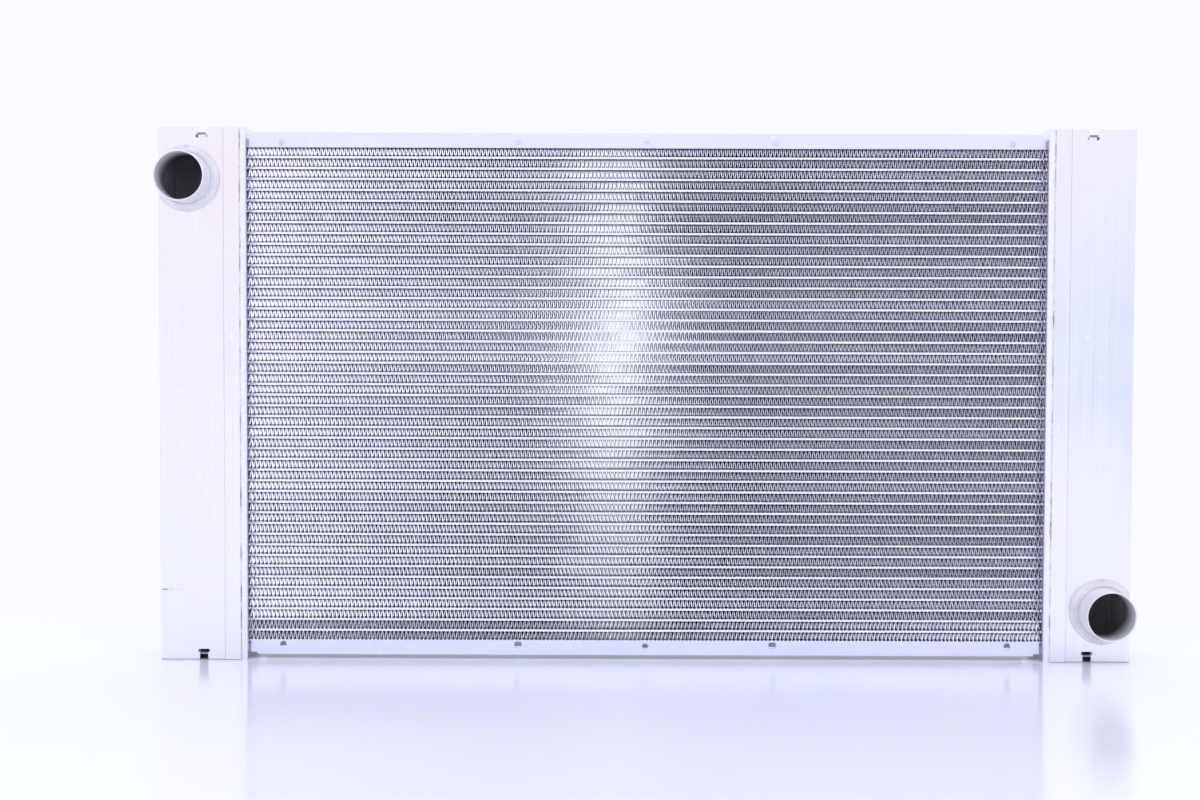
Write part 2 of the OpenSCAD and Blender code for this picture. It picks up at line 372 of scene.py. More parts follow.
def fin_strip(rng, core, settings, number):
    """One corrugated, louvred strip: its points, its cells and which of these are smooth.

    Each leg is three plain flats in front of, between and behind its louvre banks, and four plain margins
    above and below them. Crests run the whole depth. A louvre is a flat slat on the leg's middle line,
    turned about that line by the louvre angle: one way in the front bank and the other way in the back
    bank. Every fold turns a little from square to the core, by an amount that changes along the strip."""
    strip_spread, louvre_spread = math.radians(1.2), math.radians(0.6)
    x, z = wave_outline(rng, core, settings, core["z0"] + number * core["pitch"])
    legs = len(x)
    outline = np.stack([x, z], axis=-1)
    y0, y1 = core["y0"], core["y1"]
    middle, rim = (y0 + y1) / 2, settings.rim
    y0 = y0 + settings.set_back * rng.uniform(0, 1)
    louvre_banks = ((y0 + rim, middle - rim / 2), (middle + rim / 2, y1 - rim))
    flats = ((y0, louvre_banks[0][0]), (louvre_banks[0][1], louvre_banks[1][0]), (louvre_banks[1][1], y1))

    next_foot = np.concatenate([outline[1:, 0], outline[-1:, 3]])
    crest = [foil_wall(outline[:, i], outline[:, i + 1], y0, y1) for i in (3, 4)]
    crest.append(foil_wall(outline[:, 5], next_foot, y0, y1))
    crest = np.concatenate([part[:-1] for part in crest])
    plain = [foil_wall(outline[:, 0], outline[:, 3], *flat) for flat in flats]
    plain += [foil_wall(outline[:, i], outline[:, i + 1], *bank) for i in (0, 2) for bank in louvre_banks]

    turn = settings.louvre_angle + strip_spread * rng.normal() + louvre_spread * rng.normal(size=legs)
    if number < REVERSED_STRIPS:
        turn = -turn
    louvres = []
    for bank, sign in zip(louvre_banks, (1, -1)):
        louvres += louvre_slats(settings, outline[:, 1], outline[:, 2], turn, bank, sign)
    points = np.concatenate([crest, *plain, *louvres]).reshape(-1, 3)
    points[:, 0] += (points[:, 1] - middle) * np.tan(fold_skew(rng, core, settings, points[:, 0], 2 * legs))
    cells = np.arange(len(points)).reshape(-1, 4)
    smooth = np.arange(len(cells)) < len(crest)
    return points, cells, smooth


def fold_skew(rng, core, settings, x, stations):
    """How far the folds at x turn from square to the core: a common part, a part that differs from strip to
    strip, and soft noise with long and short waves, all as shares of the greatest skew."""
    common, strip_part, long_part, short_part, long_waves = 0.35, 0.15, 0.35, 0.15, 17
    broad = strip_part * rng.uniform(-1, 1) + long_part * soft_noise(rng, stations, long_waves)
    skew = settings.skew * (common + broad + short_part * soft_noise(rng, stations, stations // 2))
    return np.interp(x, np.linspace(core["x0"], core["x1"], stations), skew)


def oval_loop(width, height, steps):
    """Points round a flat oval in Y and Z: two half circles, joined by two straights."""
    angle = np.linspace(-math.pi / 2, math.pi / 2, steps)
    nose = np.stack([np.cos(angle), np.sin(angle)], axis=1) * height / 2
    reach = (width - height) / 2
    front = np.stack([-reach - nose[:, 0], nose[:, 1]], axis=1)[::-1]
    back = np.stack([reach + nose[:, 0], nose[:, 1]], axis=1)
    return np.concatenate([front, back])


def flat_tube(rng, core, settings, number, steps=9, stations=40):
    """One flat tube: an outer and an inner oval carried along X, joined at the ends. The outside ripples by
    a few hundredths of a millimetre, as rolled strip does after brazing."""
    ripple_share, ripples = 0.02, 19
    z = core["z0"] + core["strip"] + core["tube"] / 2 + number * core["pitch"]
    y = (core["y0"] + core["y1"]) / 2
    width, walls = core["y1"] - core["y0"], 2 * settings.tube_wall
    outer = oval_loop(width, core["tube"], steps)
    inner = oval_loop(width - walls, core["tube"] - walls, steps)
    x = np.linspace(core["tube_x0"], core["tube_x1"], stations)
    ripple = 1 - ripple_share * (1 + soft_noise(rng, stations, ripples))
    skin = np.empty((2 * stations, len(outer), 3))
    skin[:stations, :, 0] = x[:, None]
    skin[:stations, :, 1] = y + outer[None, :, 0]
    skin[:stations, :, 2] = z + outer[None, :, 1] * ripple[:, None]
    skin[stations:, :, 0] = x[::-1, None]
    skin[stations:, :, 1] = y + inner[None, :, 0]
    skin[stations:, :, 2] = z + inner[None, :, 1]
    return skin, grid_cells(2 * stations, len(outer), round_rows=True, round_columns=True)


def tube_fillet(core, settings, number, side, steps=9, rings=4):
    """The braze fillet where a tube enters a header: an oval loop that widens along a quarter circle,
    from the tube's skin to the header's face, and closes back along both."""
    sunk = 0.2 * MM
    z = core["z0"] + core["strip"] + core["tube"] / 2 + number * core["pitch"]
    y = (core["y0"] + core["y1"]) / 2
    width = core["y1"] - core["y0"]
    face = core["x1"] if side > 0 else core["x0"]
    quarter = np.linspace(0, math.pi / 2, rings)
    grow = settings.fillet * (1 - np.cos(quarter))
    stand = settings.fillet * (1 - np.sin(quarter))
    loops = [oval_loop(width + 2 * g, core["tube"] + 2 * g, steps) for g in grow]
    loops.append(oval_loop(width - sunk, core["tube"] - sunk, steps))
    stand = np.append(stand, 0.0)
    points = np.empty((rings + 1, len(loops[0]), 3))
    for i, (loop, out) in enumerate(zip(loops, stand)):
        points[i, :, 0] = face - side * out
        points[i, :, 1] = y + loop[:, 0]
        points[i, :, 2] = z + loop[:, 1]
    return points, grid_cells(rings + 1, len(loops[0]), round_rows=True, round_columns=True)


def seam_bead(rng, x, y, z0, z1, radius, outward, side, stations=700, steps=8):
    """The braze bead along a lapped edge: a round bar with a wandering middle line and a radius that swells
    and thins by layered soft noise, half sunk in the corner that it fills, with a point at each end."""
    wide_sway, small_sway, stand = 0.3 * MM, 0.15 * MM, 0.15 * MM
    thinnest, thickest = 0.12, 2.0
    z = np.linspace(z0, z1, stations)
    swell = 0.55 + 0.28 * soft_noise(rng, stations, 60) + 0.22 * soft_noise(rng, stations, 240)
    blobs = np.clip(soft_noise(rng, stations, 90) - 0.6, 0, 1) * 3.2
    r = radius * np.clip(swell + blobs, thinnest, thickest)
    sway = wide_sway * soft_noise(rng, stations, 40) + small_sway * soft_noise(rng, stations, 200)
    angle = np.linspace(0, 2 * math.pi, steps, endpoint=False)
    points = np.empty((stations, steps, 3))
    points[..., 0] = x + side * (stand + sway[:, None]) + r[:, None] * np.cos(angle)
    points[..., 1] = y + outward * 0.25 * r[:, None] + 0.9 * r[:, None] * np.sin(angle)
    points[..., 2] = z[:, None]
    for end in (0, -1):
        points[end, :, 0] = points[end, :, 0].mean()
        points[end, :, 1] = points[end, :, 1].mean()
    return points, grid_cells(stations, steps, round_columns=True)


def face_out(piece):
    """Merges doubled points and turns the piece's faces outwards."""
    work = bmesh.new()
    work.from_mesh(piece.data)
    bmesh.ops.remove_doubles(work, verts=work.verts, dist=1e-7)
    bmesh.ops.recalc_face_normals(work, faces=work.faces)
    work.to_mesh(piece.data)
    work.free()


def profile_ring(profile, centre, around, cut_x=None):
    """A profile of (radius, depth along Y) points turned about an axis along Y through centre.
    With cut_x, radii are drawn in so that no point passes that X, which leaves a flat flush with it."""
    least_turn = 0.2  # cosine below which a direction hardly points at the cut
    profile = np.asarray(profile, float)
    angle = np.linspace(0, 2 * math.pi, around, endpoint=False)
    radius = np.repeat(profile[:, 0:1], around, axis=1)
    if cut_x is not None:
        toward = np.cos(angle) * math.copysign(1, cut_x)
        room = abs(cut_x) - abs(centre[0])
        limit = np.where(toward > least_turn, room / np.maximum(toward, least_turn), np.inf)
        radius = np.minimum(radius, limit[None, :])
    points = np.empty((len(profile), around, 3))
    points[..., 0] = centre[0] + radius * np.cos(angle)
    points[..., 1] = profile[:, 1:2]
    points[..., 2] = centre[2] + radius * np.sin(angle)
    return points, grid_cells(len(profile), around, round_rows=True, round_columns=True)


def nub_profile(face, foot):
    """Half the section of a small round nub with a chamfered top, as (radius, depth) points. face is the
    depth it is sunk to, and foot the depth it rises from."""
    radius, height, chamfer, pin = 1.2 * MM, 1.6 * MM, 0.4 * MM, 0.02 * MM
    side = [(pin, face), (radius, face), (radius, foot - height + chamfer)]
    return [*side, (radius - chamfer, foot - height), (pin, foot - height)]


def arc_points(centre, radius, start, end, steps):
    """Points on an arc in the profile plane, from start to end degrees."""
    angle = np.radians(np.linspace(start, end, steps))
    return np.stack([centre[0] + radius * np.cos(angle), centre[1] + radius * np.sin(angle)], axis=1)


# ---------------------------------------------------------------- materials


PINK_BLOOM, BLUE_BLOOM, FLUX_WHITE = linear("#F3E4EE"), linear("#DCE4FB"), linear("#FFFFFF")
# The lap-step line, the tanks' inside greys and the header floor's grey are painted shade; the corner colour
# is a painted dark reflection on the tanks' outer corners and painted contact shade along their feet.
LAP_STEP_SHADE, SCORE, CORNER_REFLECTION_FOOT_SHADE = linear("#B9A9C4"), linear("#7F7C86"), linear("#8D8A99")
TANK_INSIDE_SHADE, TANK_END_WALL_SHADE = linear("#88868F"), linear("#BCBAC4")
HEADER_FLOOR_SHADE, CAP_GREY = linear("#9C9AB2"), linear("#9C9AA4")


def add_node(tree, kind, inputs, output=0, **settings):
    """Adds a node and gives one of its outputs, or the node itself where output is None. inputs is a list, or
    goes by name or number. Each is a socket to link or a value to set."""
    node = tree.nodes.new("ShaderNode" + kind)
    for name, value in settings.items():
        setattr(node, name, value)
    for key, value in inputs.items() if isinstance(inputs, dict) else enumerate(inputs):
        if isinstance(value, bpy.types.NodeSocket):
            tree.links.new(value, node.inputs[key])
        else:
            node.inputs[key].default_value = value
    return node if output is None else node.outputs[output]


def new_material(name):
    """A material with an empty tree, its tree and its object coordinates."""
    material = bpy.data.materials.new(name)
    material.use_nodes = True
    tree = material.node_tree
    tree.nodes.clear()
    return material, tree, add_node(tree, "TexCoord", [], "Object")


def finish_surface(tree, inputs):
    """Ends a material's tree with a Principled shader that has these inputs."""
    add_node(tree, "OutputMaterial", [add_node(tree, "BsdfPrincipled", inputs)], None)


def in_patches(tree, place, sizes, shift=(0.0, 0.0, 0.0)):
    """Object coordinates counted in patches of the given sizes along X, Y and Z, in millimetres."""
    scale = tuple(1 / (size * MM) for size in sizes)
    return add_node(tree, "Mapping", {"Vector": place, "Scale": scale, "Location": shift})


def drawn_out(long_axis, length, width):
    """Patch sizes along X, Y and Z: length along the long axis, and width along the other two."""
    return tuple(length if axis == long_axis else width for axis in "xyz")


def cloudy(tree, place, sizes, detail=3.0, shift=(0.0, 0.0, 0.0)):
    """Soft noise from 0 to 1, mostly 0.3 to 0.7, in patches of the given sizes along X, Y and Z, in
    millimetres."""
    patches = in_patches(tree, place, sizes, shift)
    return add_node(tree, "TexNoise", {"Vector": patches, "Scale": 1.0, "Detail": detail, "Roughness": 0.55})


def distance(tree, value, middle=0.0):
    """How far a value lies from middle, on either side."""
    off = add_node(tree, "Math", [value, middle], operation="SUBTRACT")
    return add_node(tree, "Math", [off], operation="ABSOLUTE")


def overlap(tree, *masks):
    """1 where every mask is 1: their product."""
    both = masks[0]
    for mask in masks[1:]:
        both = add_node(tree, "Math", [both, mask], operation="MULTIPLY")
    return both


def layered(tree, base, *layers):
    """A base colour with a plain colour laid over it for each (share, colour) in turn."""
    if not isinstance(base, bpy.types.NodeSocket):
        base = (*base, 1)
    for share, colour in layers:
        base = add_node(tree, "Mix", {0: share, 6: base, 7: (*colour, 1)}, 2, data_type="RGBA")
    return base


def darker(colour, share):
    """A colour scaled down by share."""
    return tuple(c * (1 - share) for c in colour)


def rolled_sheet(name, colour, streak_axis, roughness=0.16, marks_and_shade=False):
    """Rolled aluminium sheet after brazing: long faint streaks along the rolling direction, a cloudy change
    of gloss, faint pink and blue bloom, and small pale flux spots. When asked, it has a tank's score and its
    painted shade, painted dark reflection and painted contact shade."""
    material, tree, place = new_material(name)
    streaks = cloudy(tree, place, drawn_out(streak_axis, 140, 0.9))
    broad = cloudy(tree, place, drawn_out(streak_axis, 300, 9), detail=2.0)
    clouds = cloudy(tree, place, (45, 45, 45), detail=4.0)
    bloom = cloudy(tree, place, (80, 80, 80), detail=2.0, shift=(3.1, 1.7, 0.4))
    flux = add_node(tree, "TexVoronoi", {"Vector": in_patches(tree, place, (21, 21, 21)), "Scale": 1.0})
    base = layered(
        tree, darker(colour, 0.05),
        (add_node(tree, "MapRange", [streaks, 0.3, 0.7, 0, 1]), colour),
        (add_node(tree, "MapRange", [bloom, 0.52, 0.75, 0, 0.35]), PINK_BLOOM),
        (add_node(tree, "MapRange", [bloom, 0.46, 0.28, 0, 0.35]), BLUE_BLOOM),
        (add_node(tree, "MapRange", [flux, 0.05, 0.11, 0.5, 0]), FLUX_WHITE),
    )
    metallic = 1.0
    if marks_and_shade:
        # Painted shade inside the tanks: grey, not metallic, and paler on the outer wall's inner face.
        dull = inside_shade_mask(tree, place)
        metallic = add_node(tree, "Math", [1.0, dull], operation="SUBTRACT")
        # Painted shade at the lap step, a real score, a painted dark reflection on the outer corner with
        # painted contact shade along the foot, then the painted shade inside.
        base = layered(
            tree, base,
            (lap_step_shade_mask(tree, place), LAP_STEP_SHADE),
            (scratch_mask(tree, place), SCORE),
            (corner_reflection_and_foot_shade_mask(tree, place), CORNER_REFLECTION_FOOT_SHADE),
            (dull, TANK_INSIDE_SHADE),
            (end_wall_shade_mask(tree, place, dull), TANK_END_WALL_SHADE),
        )
    cloud_gloss = add_node(tree, "MapRange", [clouds, 0.3, 0.7, roughness - 0.02, roughness + 0.04])
    streak_gloss = add_node(tree, "MapRange", [streaks, 0.3, 0.7, -0.02, 0.04])
    gloss = add_node(tree, "Math", [cloud_gloss, streak_gloss], operation="ADD")
    height = add_node(tree, "Math", [broad, 3.0, streaks], operation="MULTIPLY_ADD")
    normal = add_node(tree, "Bump", {"Height": height, "Distance": 0.02 * MM, "Strength": 0.5})
    finish_surface(tree, {"Base Color": base, "Metallic": metallic, "Roughness": gloss, "Normal": normal})
    return material


def lap_step_shade_mask(tree, place):
    """A thin line of painted shade where the tank's sheet steps out over the header, broken in patches, 0
    elsewhere.
    """
    lap_width = 12 * MM
    across = distance(tree, add_node(tree, "SeparateXYZ", [place], "X"))
    off = distance(tree, across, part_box("right_tank")[0].x + lap_width)
    patchy = add_node(tree, "MapRange", [cloudy(tree, place, (16, 16, 16)), 0.35, 0.65, 0.45, 0.85])
    return overlap(tree, add_node(tree, "MapRange", [off, 0.1 * MM, 0.55 * MM, 1, 0]), patchy)


def corner_reflection_and_foot_shade_mask(tree, place):
    """A hair line of painted dark reflection where the sheet folds round the tank's outer corner, and of
    painted contact shade along its foot, 0 elsewhere.
    """
    x, y, z = add_node(tree, "SeparateXYZ", [place], None).outputs
    low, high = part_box("right_tank")
    middle, half = (low.y + high.y) / 2, (high.y - low.y) / 2
    across, off = distance(tree, x), distance(tree, y, middle)
    side = add_node(tree, "MapRange", [across, high.x - 1.0 * MM, high.x - 0.6 * MM, 0, 0.9])
    face = add_node(tree, "MapRange", [off, half - 1.4 * MM, half - 1.0 * MM, 0, 1])
    foot = add_node(tree, "MapRange", [z, low.z + 0.3 * MM, low.z + 0.8 * MM, 0.8, 0])
    return add_node(tree, "Math", [overlap(tree, side, face), foot], operation="MAXIMUM")


def inside_shade_mask(tree, place):
    """1 inside the tanks, where painted shade makes the sheet grey and not metallic, and 0 on their outsides.
    """
    lap_depth, wall, skin, cap_depth, blur = 3 * MM, 1.2 * MM, 2.7 * MM, 11 * MM, 0.2 * MM
    x, y, z = add_node(tree, "SeparateXYZ", [place], None).outputs
    low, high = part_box("right_tank")
    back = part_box("right_header")[1].y
    masks = []
    for value, least, most in (
        (distance(tree, x), low.x + lap_depth, high.x - wall),
        (y, low.y + skin, back),
        (z, low.z + cap_depth, high.z - cap_depth),
    ):
        masks.append(add_node(tree, "MapRange", [value, least, least + blur, 0, 1]))
        masks.append(add_node(tree, "MapRange", [value, most - blur, most, 1, 0]))
    return overlap(tree, *masks)


def end_wall_shade_mask(tree, place, dull):
    """1 on the inner face of a tank's outer wall, where the painted shade inside is paler, 0 elsewhere."""
    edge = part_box("right_tank")[1].x
    across = distance(tree, add_node(tree, "SeparateXYZ", [place], "X"))
    wall = add_node(tree, "MapRange", [across, edge - 2.6 * MM, edge - 2.2 * MM, 0, 1])
    return overlap(tree, wall, dull)


def scratch_mask(tree, place):
    """A short broken score across the inlet tank's front near its foot, 0 elsewhere."""
    score_height, score_end = 54 * MM, 21 * MM
    x, y, z = add_node(tree, "SeparateXYZ", [place], None).outputs
    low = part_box("left_tank")[0]
    off, end = distance(tree, z, low.z + score_height), low.x + score_end
    line = add_node(tree, "MapRange", [off, 0.25 * MM, 0.6 * MM, 1, 0])
    reach = add_node(tree, "MapRange", [x, end - 3 * MM, end, 1, 0])
    front = add_node(tree, "MapRange", [y, low.y + 2 * MM, low.y + 3 * MM, 1, 0])
    breaks = add_node(tree, "MapRange", [cloudy(tree, place, (5, 5, 5)), 0.45, 0.55, 0.1, 0.9])
    return overlap(tree, line, reach, front, breaks)


def clad_braze(name, colour, roughness=0.26, floor_x=None):
    """Clad aluminium whose skin has melted and flowed in the furnace: bright, with soft runs and a fine
    orange-peel. With floor_x, the slotted floor at that X on each side gets painted shade beside the core."""
    material, tree, place = new_material(name)
    runs = cloudy(tree, place, (6, 3, 3))
    peel = cloudy(tree, place, (1.1, 1.1, 1.1), detail=2.0)
    base = layered(tree, darker(colour, 0.08), (add_node(tree, "MapRange", [runs, 0.3, 0.7, 0, 1]), colour))
    if floor_x is not None:
        x, _, z = add_node(tree, "SeparateXYZ", [place], None).outputs
        across = distance(tree, x)
        # Painted shade on the header floor beside the core, below the core's top.
        floor = add_node(tree, "MapRange", [across, floor_x + 0.1 * MM, floor_x + 0.6 * MM, 0.8, 0])
        below = add_node(tree, "MapRange", [z, CORE["z1"] + 6 * MM, CORE["z1"] + 7 * MM, 1, 0])
        base = layered(tree, base, (overlap(tree, floor, below), HEADER_FLOOR_SHADE))
    gloss = add_node(tree, "MapRange", [peel, 0.3, 0.7, roughness, roughness + 0.12])
    height = add_node(tree, "Math", [peel, 0.4, runs], operation="MULTIPLY_ADD")
    normal = add_node(tree, "Bump", {"Height": height, "Distance": 0.08 * MM, "Strength": 0.6})
    finish_surface(tree, {"Base Color": base, "Metallic": 1.0, "Roughness": gloss, "Normal": normal})
    return material


def dull_sheet(name, colour):
    """Matt, grey sheet with faint clouds."""
    material, tree, place = new_material(name)
    clouds = add_node(tree, "MapRange", [cloudy(tree, place, (12, 12, 12)), 0.3, 0.7, 0, 1])
    base = layered(tree, darker(colour, 0.12), (clouds, colour))
    finish_surface(tree, {"Base Color": base, "Metallic": 0.0, "Roughness": 0.5})
    return material


def braze_filler(name, colour):
    """Solidified braze filler: bright where it wetted well, grey and rough in the patches between."""
    material, tree, place = new_material(name)
    dull = add_node(tree, "MapRange", [cloudy(tree, place, (30, 30, 17), detail=4.0), 0.46, 0.6, 0, 1])
    base = layered(tree, darker(colour, 0.12), (dull, darker(colour, 0.5)))
    gloss = add_node(tree, "MapRange", [dull, 0, 1, 0.25, 0.45])
    finish_surface(tree, {"Base Color": base, "Metallic": 1.0, "Roughness": gloss})
    return material


def rolled_foil(name, colour):
    """Thin rolled fin foil, each few folds a little lighter or darker than the next. Painted shade darkens it
    deeper in from the core's two faces, most in the middle and at the roots; it is satin at the faces and
    glossier deeper in."""
    face_depth, deep_depth, middle_depth = 2.0 * MM, 8.0 * MM, 12.0 * MM
    material, tree, place = new_material(name)
    middle, half = (CORE["y0"] + CORE["y1"]) / 2, (CORE["y1"] - CORE["y0"]) / 2
    off = distance(tree, add_node(tree, "SeparateXYZ", [place], "Y"), middle)
    folds = add_node(tree, "MapRange", [cloudy(tree, place, (4, 60, 7), detail=2.0), 0.3, 0.7, 0, 1])
    # Painted shade: darker with depth from both faces and darkest in the middle; the same depth mask also sets
    # gloss and metal.
    deep = add_node(tree, "MapRange", [off, half - deep_depth, half - face_depth, 1, 0])
    inner = add_node(tree, "MapRange", [off, half - middle_depth, half - deep_depth, 1, 0])
    base = layered(
        tree, darker(colour, 0.1), (folds, colour), (deep, darker(colour, 0.3)), (inner, darker(colour, 0.7)),
        (root_shade_mask(tree, place, off, half), darker(colour, 0.7)),
    )
    metallic = add_node(tree, "MapRange", [deep, 0, 1, 0.5, 1])
    gloss = add_node(tree, "MapRange", [deep, 0, 1, 0.45, 0.25])
    grain = cloudy(tree, place, (0.8, 8, 0.8), detail=2.0)
    normal = add_node(tree, "Bump", {"Height": grain, "Distance": 0.03 * MM, "Strength": 0.4})
    finish_surface(tree, {"Base Color": base, "Metallic": metallic, "Roughness": gloss, "Normal": normal})
    return material


def root_shade_mask(tree, place, off, half):
    """Painted shade: 1 where a leg meets its brazed crest, behind the trimmed front and back edges, and 0
    elsewhere.
    """
    root_height, trimmed, reach = 0.9 * MM, 1.7 * MM, CORE["strip"] / 2
    leg_end = reach - root_height
    height = add_node(tree, "SeparateXYZ", [place], "Z")
    above = add_node(tree, "Math", [height, CORE["z0"]], operation="SUBTRACT")
    within = add_node(tree, "Math", [above, CORE["pitch"]], operation="MODULO")
    root = add_node(tree, "MapRange", [distance(tree, within, reach), leg_end - 0.3 * MM, leg_end, 0, 1])
    behind = add_node(tree, "MapRange", [off, half - trimmed - 0.5 * MM, half - trimmed, 1, 0])
    return overlap(tree, root, behind)


def drawn_tube(name, colour, roughness=0.4):
    """Drawn and turned aluminium: fine rings round the spigot's axis and a dull, slightly warm bloom."""
    material, tree, place = new_material(name)
    rings = cloudy(tree, place, (40, 0.5, 40), detail=2.0)
    bloom = cloudy(tree, place, (14, 14, 14), detail=4.0)
    share = add_node(tree, "MapRange", [bloom, 0.35, 0.7, 0, 1])
    base = layered(tree, colour, (share, darker(colour, 0.14)))
    gloss = add_node(tree, "MapRange", [bloom, 0.3, 0.7, roughness, roughness + 0.14])
    normal = add_node(tree, "Bump", {"Height": rings, "Distance": 0.03 * MM, "Strength": 0.5})
    finish_surface(tree, {"Base Color": base, "Metallic": 0.2, "Roughness": gloss, "Normal": normal})
    return material


def studio_floor(name, colour):
    """White lacquered table top: a faint soft mirror under a pale surface."""
    material, tree, place = new_material(name)
    drift = cloudy(tree, place, (625, 625, 625), detail=2.0)
    base = layered(tree, darker(colour, 0.02), (add_node(tree, "MapRange", [drift, 0.3, 0.7, 0, 1]), colour))
    gloss = add_node(tree, "MapRange", [drift, 0.3, 0.7, 0.12, 0.18])
    finish_surface(tree, {"Base Color": base, "Metallic": 0.0, "Roughness": gloss, "Specular IOR Level": 0.22})
    return material


def dress(nodes, material):
    """Gives CAD nodes a material."""
    for name in nodes:
        slots = frame["nodes"][name].data.materials
        slots.clear()
        slots.append(material)


def finish_piece(piece, slot, *nodes):
    """Makes a piece ride on the cooler and hides the CAD nodes it stands for."""
    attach(piece, "root")
    if nodes:
        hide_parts(*nodes)
    return piece


# ---------------------------------------------------------------- operators


class COOLER_OT_fins(bpy.types.Operator):
    """Builds every corrugated, louvred fin strip"""

    bl_idname = "cooler.fins"
    bl_label = "Fin Strips"

    def execute(self, context):
        settings = context.scene.oil_cooler
        material = rolled_foil("rolled_fin_foil", settings.finish.foil)
        rng = np.random.default_rng(seed=46)
        for bank, node in enumerate(FIN_BANKS):
            parts, smooth = [], []
            for strip in range(STRIPS_PER_BANK):
                points, cells, soft = fin_strip(rng, CORE, settings.core, bank * STRIPS_PER_BANK + strip)
                parts.append((points, cells))
                smooth.append(soft)
            points, cells = stack_parts(parts)
            piece = mesh_piece(f"fin_strips_{bank + 1}", points, cells, material, np.concatenate(smooth))
            finish_piece(piece, "fin_foil", node)
        return {"FINISHED"}


class COOLER_OT_tubes(bpy.types.Operator):
    """Builds the flat tubes and the braze fillets round their ends"""

    bl_idname = "cooler.tubes"
    bl_label = "Flat Tubes"

    def execute(self, context):
        settings = context.scene.oil_cooler
        material = clad_braze("clad_tube_strip", settings.finish.braze, roughness=0.24)
        rng = np.random.default_rng(seed=45)
        for bank, node in enumerate(TUBE_BANKS):
            numbers = range(bank * TUBES_PER_BANK, (bank + 1) * TUBES_PER_BANK)
            points, cells = stack_parts([flat_tube(rng, CORE, settings.core, n) for n in numbers])
            piece = mesh_piece(f"flat_tubes_{bank + 1}", points, cells, material)
            face_out(piece)
            finish_piece(piece, "tube_strip", node)
        for side, word in ((-1, "left"), (1, "right")):
            numbers = range(len(TUBE_BANKS) * TUBES_PER_BANK)
            points, cells = stack_parts([tube_fillet(CORE, settings.joints, n, side) for n in numbers])
            piece = mesh_piece(f"{word}_tube_fillets", points, cells, material)
            face_out(piece)
            finish_piece(piece, "tube_strip")
        dress(TURBULATORS, material)
        return {"FINISHED"}


class COOLER_OT_tanks(bpy.types.Operator):
    """Finishes the tanks, headers, caps and side plates, and lays the braze beads along the laps"""

    bl_idname = "cooler.tanks"
    bl_label = "Tanks and Plates"

    def execute(self, context):
        bead_end = 1 * MM
        settings = context.scene.oil_cooler
        finish = settings.finish
        sheet = rolled_sheet("rolled_tank_sheet", finish.tank, "z", marks_and_shade=True)
        plate = rolled_sheet("rolled_side_plate", finish.plate, "x", roughness=0.36)
        clad = clad_braze("clad_header_sheet", finish.braze, floor_x=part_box("right_header")[0].x)
        filler = braze_filler("braze_filler", finish.braze)
        tanks = ["left_tank", "right_tank"]
        caps = [f"{side}_{end}_cap" for side in ("left", "right") for end in ("top", "bottom")]
        dress(tanks, sheet)
        dress(caps, dull_sheet("dull_cap_sheet", CAP_GREY))
        dress(["left_header", "right_header"], clad)
        dress(["top_side_plate", "bottom_side_plate"], plate)
        rng = np.random.default_rng(seed=7)
        for tank, side in zip(tanks, (1, -1)):
            low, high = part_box(tank)
            header_low, header_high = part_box(tank.replace("tank", "header"))
            edge = high.x if side > 0 else low.x
            foot, head = low.z + bead_end, high.z - bead_end
            points, cells = stack_parts([
                seam_bead(rng, edge, y, foot, head, settings.joints.seam, outward, side)
                for y, outward in ((header_low.y, -1), (header_high.y, 1))
            ])
            piece = mesh_piece(tank.replace("tank", "lap_braze"), points, cells, filler)
            face_out(piece)
            finish_piece(piece, "header_sheet")
        return {"FINISHED"}


